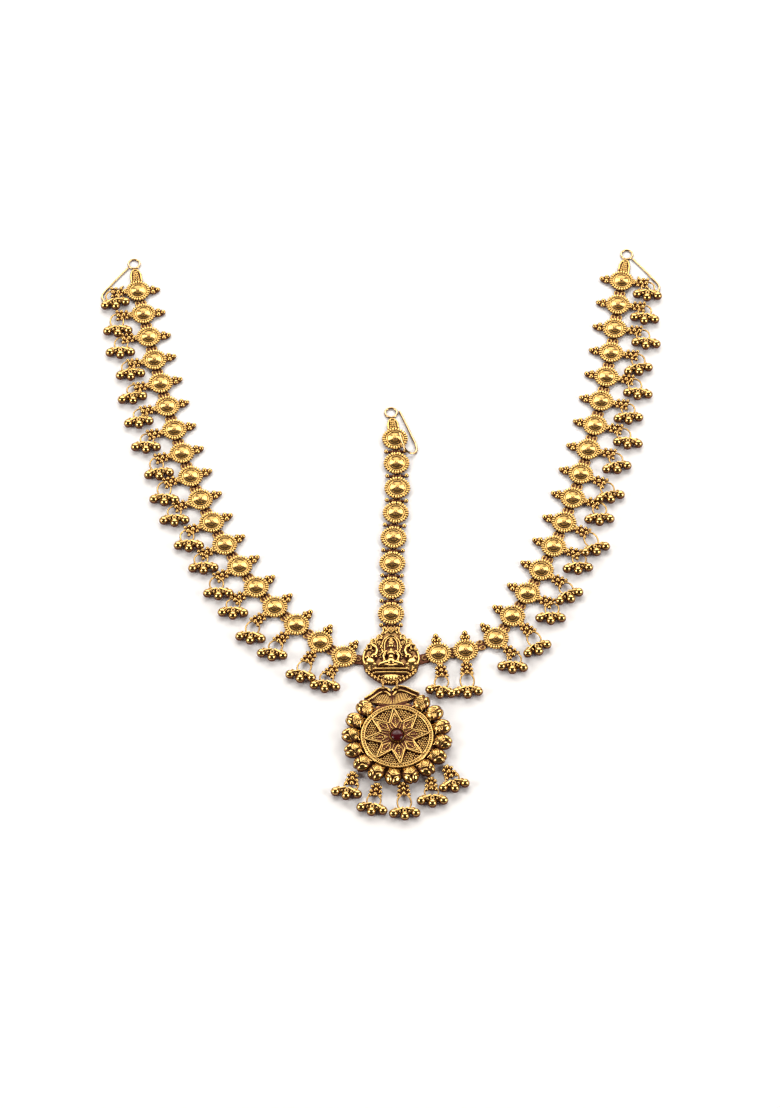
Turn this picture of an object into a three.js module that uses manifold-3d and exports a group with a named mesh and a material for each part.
// Matha patti: a cast, gold-finished forehead ornament, lying on its back on a flat surface.
//
// Two side bands of rosette links run from the temples to a plaque above the brow, a third
// chain runs from the plaque to the crown of the head, and a round pendant hangs from the
// plaque. Each side link carries a small drop on its outer side: a beaded tab, a wire ring and
// a row of three balls. Each free end has a ring and a wire hair hook.
//
// Millimetres, +Z up from the surface, +Y from the pendant to the crown, +X to the right as
// seen from the front. The origin is the centre of the bottom of the bounding box.

import * as THREE from 'three';
import { mergeVertices } from 'three/addons/utils/BufferGeometryUtils.js';
import Module from 'manifold-3d';

const wasm = await Module();
wasm.setup();

// ---------------------------------------------------------------------------------------
// Driving dimensions
// ---------------------------------------------------------------------------------------

const GAP = 0.3; // clearance between neighbouring pieces

// Centre lines, from the free end of each run towards the plaque, as [x, y]. Single links lie a
// little off the even row: nudge is their offset, twist their turn in degrees.
const RUNS = {
  left: {
    links: 18,
    inward: 1,
    route: [[-98.9, 123.5], [-88.6, 78.5], [-75.3, 33.4], [-62, 3.8], [-42.3, -24.2], [-17.1, -45.1]],
    end: [-100.9, 137.2],
    seat: [-10.6, -46.2],
    nudge: { 17: [0, -0.5] },
    twist: { 1: -7, 2: -6, 3: -6, 17: 9 },
  },
  right: {
    links: 18,
    inward: -1,
    route: [[91, 128.4], [83.7, 81.4], [72.5, 35.6], [61.2, 2.2], [44.7, -29.2], [38, -38.6],
      [28.1, -43.2], [18, -43.7]],
    end: [93.5, 141.8],
    seat: [11.5, -46],
    nudge: { 17: [-1.4, 0.4] },
    twist: { 17: -15 },
  },
  centre: {
    links: 8,
    inward: 0,
    route: [[1.9, 53.1], [2.8, 30], [1.3, 7.2], [0.4, -26.3]],
    end: [0.4, 65.8],
    seat: [0.4, -31.9],
    nudge: {},
    twist: {},
  },
};

// How each side drop lies, link 1 to 18: the swing of its ring from hanging straight towards
// -Y, in degrees; the way from the end of the tab to the row of balls; the tilt of the row.
const DROPS = {
  left: [[18, 6.7, 12], [7, 7, 3], [5, 7.5, 2], [14, 5.8, 8], [-2, 5.6, 12], [-4, 5.9, 8],
    [-4, 6.4, 0], [5, 6.3, 8], [-8, 6.7, -2], [-6, 5.4, 2], [0, 6.3, 0], [-1, 5.4, 2],
    [-6, 6.3, 0], [-2, 5.2, -2], [-9, 7.6, -7], [-8, 5.2, -6], [-17, 7.2, -10], [-9, 5.5, -5]],
  right: [[-6, 6.6, -6], [-4, 6, -8], [8, 5.7, -6], [4, 6.4, 4], [8, 5.7, -10], [0, 5.9, 4],
    [8, 5.2, -9], [-3, 6.1, 4], [6, 5.8, -18], [-2, 6, 0], [4, 6.4, -14], [-6, 5.8, 2],
    [8, 5.3, -4], [-8, 6, 0], [6, 5.3, -16], [-12, 5.3, -8], [16, 8.4, 6], [-7, 6.2, -12]],
};

// A rosette link: a round cast disc with a beaded rim, a sunk channel and a low domed boss.
const ROSETTE = {
  radius: 4.85,
  sides: 10,
  profile: [[0, 0], [4.85, 0], [4.7, 2.1], [3.2, 1.3], [0, 2.4]], // [radius, height]
  centreScale: 1.04, // the rosettes of the centre chain are slightly larger
};

// The pair of link rings that ties a rosette to the next one.
const TIE = { spread: 3.1, centreSpread: 3.7, radius: 0.65, height: 0.65 };

// The three-grain finial on the inner side of a side link, as an outline from the rim.
const FINIAL = {
  low: 0.2,
  high: 1.6,
  outline: [[4.1, -1.4], [8.7, -0.9], [8.7, 0.9], [4.1, 1.4]],
};

// A drop: beaded tab, wire ring and a row of three balls.
const SIDE_TAB = { start: 4.1, end: 10.6, startWidth: 2.4, endWidth: 5, low: 1.2, high: 1.75 };
const PENDANT_TAB = { start: -0.4, end: 7, startWidth: 4, endWidth: 5.6, low: 1.2, high: 1.75 };
// overTab and inBall: how far the ring reaches back into the tab, and on into the middle ball
const DROP_RING = { radius: 2.4, wire: 0.3, height: 1.48, sides: 5, overTab: 0.3, inBall: 0.8 };
const BALL_ROW = {
  sides: 5,
  radius: 1.95,
  spacing: 4.1,
  profile: [[0, -1.5], [1.95, -1], [0.6, -0.5], [1.95, 0], [0.6, 0.5], [1.95, 1], [0, 1.5]],
};

// The ring and the hair hook at each free end, both of round wire.
const WIRE_RADIUS = 0.45;
const END_RING_RADIUS = 2.35;
const END_LUG = { startWidth: 4.4, endWidth: 3.2, low: 0.3, high: 1.2 };
// heading in degrees; side: the hand on which the wire turns back; rise: height of its far end
const HOOKS = {
  left: { start: [-103.3, 135.2], heading: -126, length: 18.5, width: 4.3, side: 1, back: 10, rise: 0 },
  right: { start: [95.8, 139.7], heading: -53, length: 18.1, width: 4.1, side: -1, back: 10, rise: 0 },
  centre: { start: [3.6, 66.6], heading: -69, length: 20.6, width: 4.9, side: -1, back: 9, rise: 2.6 },
};

// The plaque: a cast panel with a seated figure between two elephants.
const PLAQUE = {
  centre: [0.4, -46.5],
  thickness: 1.6,
  // right half of the outline, from the top of the crown piece down to the bottom tip
  halfOutline: [[0, 14.6], [3.2, 14.6], [3.4, 11.4], [5.5, 9.6], [8.2, 7.4], [9.6, 4.8], [10.6, 2],
    [10.8, -1.8], [10.4, -4.6], [9.4, -7], [7.2, -8.8], [4.8, -10.3], [2.4, -11.2], [0, -11.6]],
};

// The pendant: a round medallion in a ring of melon beads, with two ribbed leaves on top.
const PENDANT = {
  centre: [2.6, -80.6],
  turn: 6, // degrees
  sides: 16,
  profile: [[0, 0], [16.4, 0], [13.6, 3.3], [3.1, 3.2], [3.1, 4.4], [2.75, 4.4], [2.75, 3.3],
    [0, 3.3]], // [radius, height]
  beads: 14,
  beadCircle: 17.2,
  beadSize: [3.9, 3.5, 2.8], // half sizes: outwards, along the ring, upwards
  beadGapAngle: 76, // degrees of the ring left to the leaves
  leafLow: 0.3,
  leafHigh: 2.4,
  leaf: [[0.2, 13.6], [0.2, 20.2], [1.3, 21.7], [3, 22.3], [5.4, 21.7], [8, 19.9], [10.6, 18.4],
    [8.6, 16.6], [4.6, 14.4]],
};
const STONE = { profile: [[0, 0], [2.45, 0], [2.1, 0.8], [0, 1.3]], base: 3.6, sides: 12 };
// The pendant's drops start on a circle around it. angle: place around the pendant; lean and
// swing: how far the tab, and the ring and balls, turn from hanging straight, all in degrees;
// hang: from the end of the tab to the row of balls.
const DROP_CIRCLE = 20.55;
const PENDANT_DROPS = [
  { angle: -135, lean: -6, swing: -18, hang: 5.6 },
  { angle: -109, lean: -8, swing: -17, hang: 7.3 },
  { angle: -84, lean: 3, swing: 2, hang: 7.6 },
  { angle: -56, lean: 2, swing: -4, hang: 4.9 },
  { angle: -35, lean: 24, swing: 10, hang: 5.5 },
];

// The two strap loops that carry the pendant on the plaque.
const STRAP = { x: [-2.6, 2.6], length: 5, width: 1.3, y: -58.4, low: 2.7, high: 3.5 };

// ---------------------------------------------------------------------------------------
// Materials
// ---------------------------------------------------------------------------------------

const antiqueGold = new THREE.MeshStandardMaterial({ color: 0xc79a4a, roughness: 0.35, metalness: 1 });
const darkRedStone = new THREE.MeshStandardMaterial({ color: 0x4a0d10, roughness: 0.12, metalness: 0 });

// ---------------------------------------------------------------------------------------
// Making and joining solids
// ---------------------------------------------------------------------------------------

const radians = THREE.MathUtils.degToRad;
const vector = ([x, y], z = 0) => new THREE.Vector3(x, y, z);
const direction = (degrees) => vector([Math.cos(radians(degrees)), Math.sin(radians(degrees))]);
const acrossOf = (along) => new THREE.Vector3(-along.y, along.x, 0);

// A closed three.js geometry as a manifold solid: corners merged, zero-width triangles left out.
function toSolid(geometry) {
  const bare = geometry.clone();
  bare.deleteAttribute('normal');
  bare.deleteAttribute('uv');
  const merged = mergeVertices(bare, 1e-4);
  const corners = merged.index.array;
  const kept = [];
  for (let i = 0; i < corners.length; i += 3) {
    const [a, b, c] = [corners[i], corners[i + 1], corners[i + 2]];
    if (a !== b && b !== c && c !== a) kept.push(a, b, c);
  }
  return new wasm.Manifold(new wasm.Mesh({
    numProp: 3,
    vertProperties: new Float32Array(merged.attributes.position.array),
    triVerts: new Uint32Array(kept),
  }));
}

// Soldered or cast together: one closed body out of overlapping pieces.
function fuse(geometries) {
  const solid = geometries.map(toSolid).reduce((whole, piece) => whole.add(piece));
  const mesh = solid.getMesh();
  const geometry = new THREE.BufferGeometry();
  geometry.setAttribute('position', new THREE.BufferAttribute(mesh.vertProperties, 3));
  geometry.setIndex(new THREE.BufferAttribute(mesh.triVerts, 1));
  geometry.computeVertexNormals();
  return geometry;
}

// A solid of revolution about +Z from a [radius, height] profile.
function turned(profile, sides) {
  const points = profile.map(([radius, height]) => new THREE.Vector2(radius, height));
  return new THREE.LatheGeometry(points, sides).rotateX(Math.PI / 2);
}

// A flat plate from a closed [x, y] outline.
function plate(outline, low, high) {
  const shape = new THREE.Shape(outline.map(([x, y]) => new THREE.Vector2(x, y)));
  const options = { depth: high - low, bevelEnabled: false };
  return new THREE.ExtrudeGeometry(shape, options).translate(0, 0, low);
}

// A straight bar of rectangular section between two points of the plan.
function bar(from, to, width, low, high) {
  const run = to.clone().sub(from);
  const middle = from.clone().add(to).multiplyScalar(0.5);
  return new THREE.BoxGeometry(run.length(), width, high - low)
    .rotateZ(Math.atan2(run.y, run.x))
    .translate(middle.x, middle.y, (low + high) / 2);
}

// A tab that widens from start to end along a direction.
function tab(origin, along, size) {
  const across = acrossOf(along);
  const corner = (distance, offset) => {
    const point = origin.clone().addScaledVector(along, distance).addScaledVector(across, offset);
    return [point.x, point.y];
  };
  const outline = [
    corner(size.start, -size.startWidth / 2),
    corner(size.end, -size.endWidth / 2),
    corner(size.end, size.endWidth / 2),
    corner(size.start, size.startWidth / 2),
  ];
  return plate(outline, size.low, size.high);
}

// A coarse ball, with half sizes along the three axes.
function lump(halfSizes, detail = 0) {
  return new THREE.IcosahedronGeometry(1, detail).scale(...halfSizes);
}

// ---------------------------------------------------------------------------------------
// The runs of rosettes
// ---------------------------------------------------------------------------------------

function rosetteCentres(run) {
  const curve = new THREE.CatmullRomCurve3(run.route.map((point) => vector(point)));
  return curve.getSpacedPoints(run.links - 1)
    .map((centre, index) => centre.add(vector(run.nudge[index + 1] ?? [0, 0])));
}

// The pair of ties from a rosette towards the next centre, or towards the plaque.
function ties(centre, next, size, last) {
  const along = next.clone().sub(centre);
  const pitch = along.length();
  along.normalize();
  const across = acrossOf(along);
  const rimAt = (offset) => Math.sqrt(size.radius ** 2 - offset ** 2);
  const begin = rimAt(size.spread + TIE.radius) - 0.7;
  const reach = pitch - GAP - (last ? 0 : rimAt(size.spread - TIE.radius));
  return [-1, 1].map((side) => {
    const middle = centre.clone()
      .addScaledVector(across, side * size.spread)
      .addScaledVector(along, (begin + reach) / 2);
    return new THREE.CylinderGeometry(TIE.radius, TIE.radius, reach - begin, 3)
      .rotateZ(Math.atan2(along.y, along.x) + Math.PI / 2)
      .translate(middle.x, middle.y, TIE.height);
  });
}

// The lug that holds the end ring, on the first rosette of a run.
function endLug(centre, ringCentre) {
  const along = ringCentre.clone().sub(centre);
  const end = along.length() - END_RING_RADIUS - WIRE_RADIUS - GAP;
  along.normalize();
  return tab(centre, along, { ...END_LUG, start: ROSETTE.radius - 1.2, end });
}

// A drop: the beaded tab from its origin along `outward`, then ring and balls along `hanging`,
// the row of balls turned by `tilt` degrees.
function drop(origin, outward, hanging, tabSize, hang, tilt) {
  const tip = origin.clone().addScaledVector(outward, tabSize.end);
  const heading = Math.atan2(hanging.y, hanging.x);
  const flat = Math.cos(Math.PI / DROP_RING.sides); // a flat of the ring lies in the tab
  const ringLength = hang - BALL_ROW.radius + DROP_RING.overTab + DROP_RING.inBall;
  const ringRadius = ringLength / (1 + flat);
  const ringCentre = tip.clone().addScaledVector(hanging, ringRadius * flat - DROP_RING.overTab);
  const ring = new THREE.TorusGeometry(DROP_RING.radius, DROP_RING.wire, 3, DROP_RING.sides)
    .scale(ringRadius / DROP_RING.radius, 1, 1)
    .rotateZ(heading)
    .translate(ringCentre.x, ringCentre.y, DROP_RING.height);
  const rowProfile = BALL_ROW.profile.map(([radius, ball]) => [radius, ball * BALL_ROW.spacing]);
  const rowCentre = tip.clone().addScaledVector(hanging, hang);
  const row = turned(rowProfile, BALL_ROW.sides)
    .rotateX(Math.PI / 2)
    .rotateZ(radians(tilt - 90))
    .translate(rowCentre.x, rowCentre.y, BALL_ROW.radius);
  return [tab(origin, outward, tabSize), ring, row];
}

// Give a geometry made in plan coordinates its own origin and turn, and name it.
function place(name, geometry, centre, turn, material) {
  const mesh = new THREE.Mesh(geometry, material);
  mesh.name = name;
  mesh.position.copy(centre);
  mesh.rotation.z = turn;
  geometry.translate(-centre.x, -centre.y, -centre.z).rotateZ(-turn);
  return mesh;
}

function linkMesh(name, side, index, centres) {
  const run = RUNS[side];
  const centre = centres[index];
  const before = centres[Math.max(index - 1, 0)];
  const after = centres[Math.min(index + 1, run.links - 1)];
  const along = after.clone().sub(before).normalize();
  const last = index === run.links - 1;
  const next = last ? vector(run.seat) : centres[index + 1];
  const disc = turned(ROSETTE.profile, ROSETTE.sides);
  const pieces = [];
  const size = { radius: ROSETTE.radius, spread: TIE.spread };
  let turn = Math.atan2(along.y, along.x) + Math.PI / 2;
  if (run.inward === 0) {
    disc.scale(ROSETTE.centreScale, ROSETTE.centreScale, 1);
    size.radius *= ROSETTE.centreScale;
    size.spread = TIE.centreSpread;
  } else {
    turn = Math.atan2(along.y, along.x) + run.inward * Math.PI / 2 + radians(run.twist[index + 1] ?? 0);
    const outward = vector([-Math.cos(turn), -Math.sin(turn)]);
    const finial = plate(FINIAL.outline, FINIAL.low, FINIAL.high);
    pieces.push(finial.rotateZ(turn).translate(centre.x, centre.y, 0));
    const [swing, hang, tilt] = DROPS[side][index];
    pieces.push(...drop(centre, outward, direction(swing - 90), SIDE_TAB, hang, tilt));
  }
  pieces.unshift(disc.rotateZ(turn).translate(centre.x, centre.y, 0));
  pieces.push(...ties(centre, next, size, last));
  if (index === 0) pieces.push(endLug(centre, vector(run.end)));
  return place(name, fuse(pieces), centre, turn, antiqueGold);
}

function runMeshes(side, digits) {
  const centres = rosetteCentres(RUNS[side]);
  return centres.map((_, index) => {
    const number = String(index + 1).padStart(digits, '0');
    return linkMesh(`${side}_link_${number}`, side, index, centres);
  });
}

// ---------------------------------------------------------------------------------------
// End rings and hair hooks
// ---------------------------------------------------------------------------------------

function endRing(side) {
  const centre = vector(RUNS[side].end);
  const ring = new THREE.TorusGeometry(END_RING_RADIUS, WIRE_RADIUS, 4, 10)
    .translate(centre.x, centre.y, WIRE_RADIUS);
  return place(`end_ring_${side}`, fuse([ring]), centre, 0, antiqueGold);
}

// A long narrow wire hook: out along one leg, round the bend and part of the way back.
function hairHook(side) {
  const { start, heading, length, width, side: hand, back, rise } = HOOKS[side];
  const along = direction(heading);
  const across = acrossOf(along).multiplyScalar(hand);
  const at = (distance, offset, height = 0) => vector(start, WIRE_RADIUS + height)
    .addScaledVector(along, distance)
    .addScaledVector(across, offset);
  const bend = width / 2;
  const path = new THREE.CatmullRomCurve3([
    at(0, 0),
    at(length * 0.45, -0.2),
    at(length - bend, 0),
    at(length - bend * 0.3, bend * 0.3),
    at(length, bend, rise * 0.2),
    at(length - bend * 0.3, width - bend * 0.3, rise * 0.6),
    at(length - bend, width, rise * 0.9),
    at(length - back, width * 0.9, rise),
  ]);
  const section = new THREE.Shape();
  section.absarc(0, 0, WIRE_RADIUS, 0, Math.PI * 2);
  const wire = new THREE.ExtrudeGeometry(section, { steps: 11, curveSegments: 3, extrudePath: path });
  return place(`hair_hook_${side}`, fuse([wire]), vector(start), 0, antiqueGold);
}

// ---------------------------------------------------------------------------------------
// Plaque
// ---------------------------------------------------------------------------------------

function plaque() {
  const right = PLAQUE.halfOutline;
  const left = right.slice(1, -1).reverse().map(([x, y]) => [-x, y]);
  const pieces = [plate([...right, ...left].reverse(), 0, PLAQUE.thickness)];

  // seat: two bands over a half-round lotus
  pieces.push(plate([[-7.6, -7.4], [7.6, -7.4], [7, -5], [-7, -5]], 1, 3));
  pieces.push(plate([[-6, -7.6], [-3.8, -9.8], [3.8, -9.8], [6, -7.6]], 1, 2.4));

  // figure: crossed legs, body, head and the arch behind the head
  pieces.push(lump([4.4, 1.7, 1.7]).translate(0, -3.6, 2.4));
  pieces.push(turned([[0, 0], [2, 0], [1.5, 2.6], [1.9, 5], [0, 6.2]], 6)
    .rotateX(-Math.PI / 2).translate(0, -3.6, 2));
  pieces.push(lump([1.5, 1.9, 1.5]).translate(0, 4.2, 2.9));
  pieces.push(plate([[-2.9, 1], [2.9, 1], [2.9, 5.2], [1.6, 8], [-1.6, 8], [-2.9, 5.2]], 1, 2.3));

  // elephants: a rounded body, a head and a raised trunk on each side, facing the figure
  for (const side of [-1, 1]) {
    pieces.push(lump([3.1, 3, 2]).translate(side * 7.4, -2.6, 2));
    pieces.push(lump([1.9, 1.9, 1.8]).translate(side * 5.6, 1.6, 2.2));
    pieces.push(bar(vector([side * 5, 2.4]), vector([side * 3.9, 6.2]), 1.2, 1, 2.8));
  }

  const centre = vector(PLAQUE.centre);
  const geometry = fuse(pieces).translate(centre.x, centre.y, 0);
  return place('goddess_plaque', geometry, centre, 0, antiqueGold);
}

// ---------------------------------------------------------------------------------------
// Pendant
// ---------------------------------------------------------------------------------------

function pendant() {
  const pieces = [turned(PENDANT.profile, PENDANT.sides)];

  const first = 90 - PENDANT.beadGapAngle / 2;
  const step = (360 - PENDANT.beadGapAngle) / (PENDANT.beads - 1);
  for (let i = 0; i < PENDANT.beads; i += 1) {
    const angle = radians(first - i * step);
    pieces.push(lump(PENDANT.beadSize)
      .translate(PENDANT.beadCircle, 0, PENDANT.beadSize[2])
      .rotateZ(angle));
  }

  const leafRight = PENDANT.leaf.map(([x, y]) => [x - 0.4, y]);
  const leafLeft = leafRight.map(([x, y]) => [-x, y]).reverse();
  pieces.push(plate(leafRight.slice().reverse(), PENDANT.leafLow, PENDANT.leafHigh));
  pieces.push(plate(leafLeft.slice().reverse(), PENDANT.leafLow, PENDANT.leafHigh));

  const centre = vector(PENDANT.centre);
  const turn = radians(PENDANT.turn);
  const geometry = fuse(pieces).rotateZ(turn).translate(centre.x, centre.y, 0);
  return place('pendant', geometry, centre, turn, antiqueGold);
}

function pendantStone() {
  const centre = vector(PENDANT.centre);
  const geometry = fuse([turned(STONE.profile, STONE.sides)]).translate(centre.x, centre.y, STONE.base);
  return place('pendant_stone', geometry, vector(PENDANT.centre, STONE.base), 0, darkRedStone);
}

function pendantDrop(index) {
  const { angle, lean, swing, hang } = PENDANT_DROPS[index];
  const origin = vector(PENDANT.centre).addScaledVector(direction(angle), DROP_CIRCLE);
  const pieces = drop(origin, direction(lean - 90), direction(swing - 90), PENDANT_TAB, hang, swing);
  return place(`pendant_drop_${index + 1}`, fuse(pieces), origin, 0, antiqueGold);
}

function strap(name, x) {
  const centre = vector([x, STRAP.y]);
  const half = vector([0, STRAP.length / 2]);
  const from = centre.clone().sub(half);
  const to = centre.clone().add(half);
  const geometry = bar(from, to, STRAP.width, STRAP.low, STRAP.high);
  return place(name, fuse([geometry]), centre, 0, antiqueGold);
}

// ---------------------------------------------------------------------------------------
// Assembly
// ---------------------------------------------------------------------------------------

const mathaPatti = new THREE.Group();
mathaPatti.name = 'matha_patti';
mathaPatti.add(...runMeshes('left', 2), ...runMeshes('right', 2), ...runMeshes('centre', 1));
for (const side of ['left', 'right', 'centre']) {
  mathaPatti.add(endRing(side), hairHook(side));
}
mathaPatti.add(plaque(), pendant(), pendantStone());
PENDANT_DROPS.forEach((_, index) => mathaPatti.add(pendantDrop(index)));
mathaPatti.add(strap('strap_left', STRAP.x[0]), strap('strap_right', STRAP.x[1]));

// Put the origin at the bottom centre of the bounding box.
const bounds = new THREE.Box3().setFromObject(mathaPatti, true);
const middle = bounds.getCenter(new THREE.Vector3());
mathaPatti.position.set(-middle.x, -middle.y, -bounds.min.z);

export default mathaPatti;
